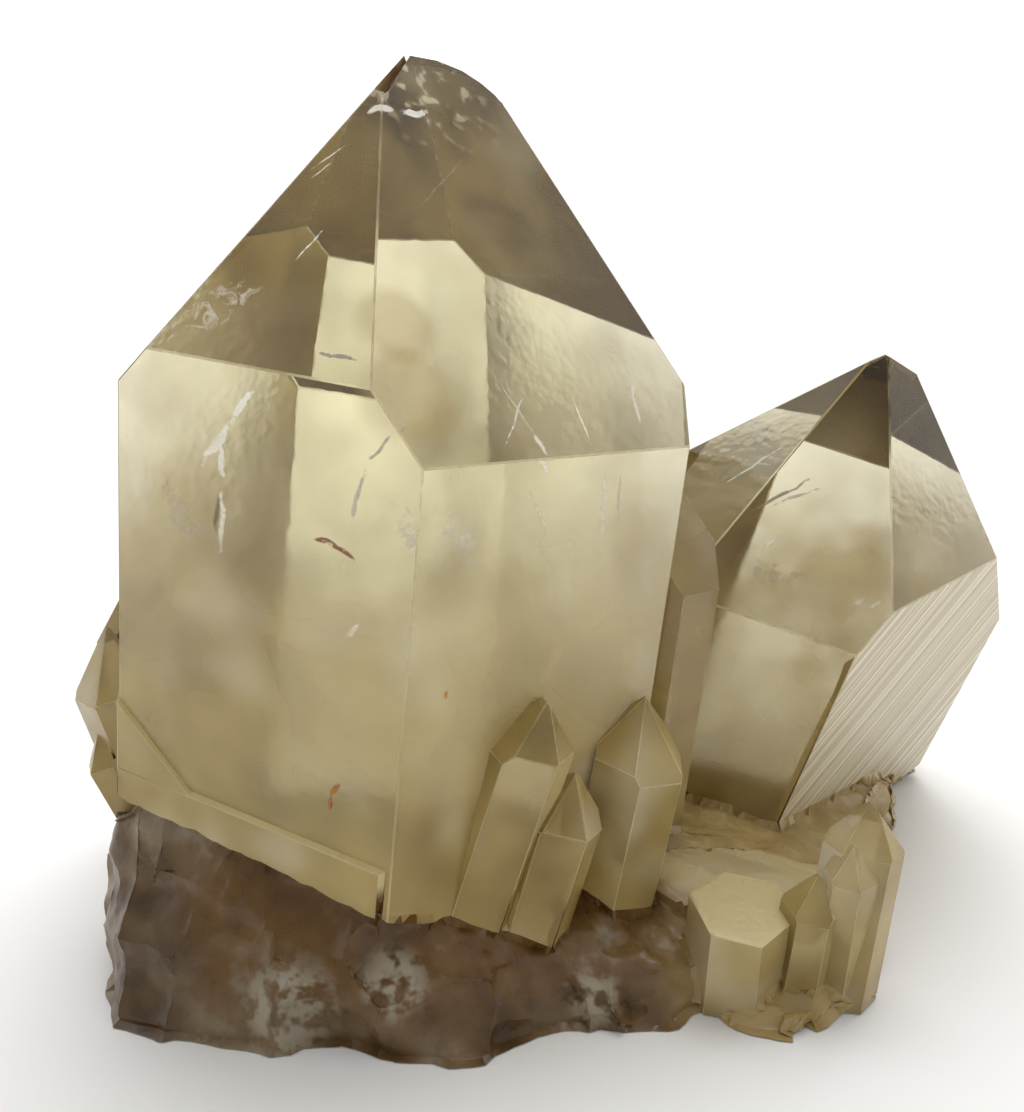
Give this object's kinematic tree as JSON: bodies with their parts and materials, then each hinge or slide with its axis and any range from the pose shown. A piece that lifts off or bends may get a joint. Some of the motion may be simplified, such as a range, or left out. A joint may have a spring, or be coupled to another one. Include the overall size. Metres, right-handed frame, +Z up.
{
  "type": "citrine crystal point",
  "caption": "Natural citrine quartz point grown together with a second point and small side crystals on a broken root, standing on its flat cut base.",
  "frame": {"origin": "centre of the bounding box at the flat cut base the specimen stands on", "axes": "+Z up, +X to the right along the row of crystals, +Y away from the front"},
  "size_m": [0.1644, 0.126, 0.1334],
  "materials": {
    "citrine": "clear smoky yellow crystal faces, cloudy brown broken root"
  },
  "bodies": {
    "root": {"citrine_cluster": "citrine"}
  },
  "joints": []
}
